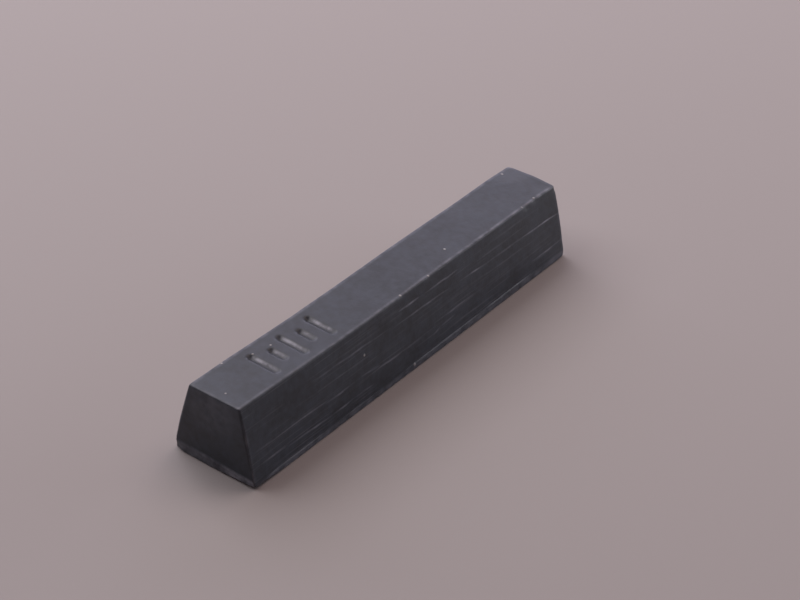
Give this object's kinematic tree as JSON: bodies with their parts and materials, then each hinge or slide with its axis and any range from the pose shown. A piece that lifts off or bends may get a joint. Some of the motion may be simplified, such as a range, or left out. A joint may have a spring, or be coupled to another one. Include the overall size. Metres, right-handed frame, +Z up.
{
  "type": "furniture repair wax stick",
  "caption": "Short bar of black filler wax with drafted walls and rounded edges, melted or rubbed into scratches and holes to repair furniture.",
  "frame": {"origin": "middle of the base, on the surface that the stick lies on", "axes": "+X along the stick, away from the end with the ticks; +Y across it; +Z up, from the wide base to the narrow top face"},
  "size_m": [0.08, 0.0154, 0.0129],
  "materials": {
    "wax": "cast hard wax, satin, with faint drag lines and a pale haze"
  },
  "bodies": {
    "root": {"wax_stick": "wax"}
  },
  "joints": []
}
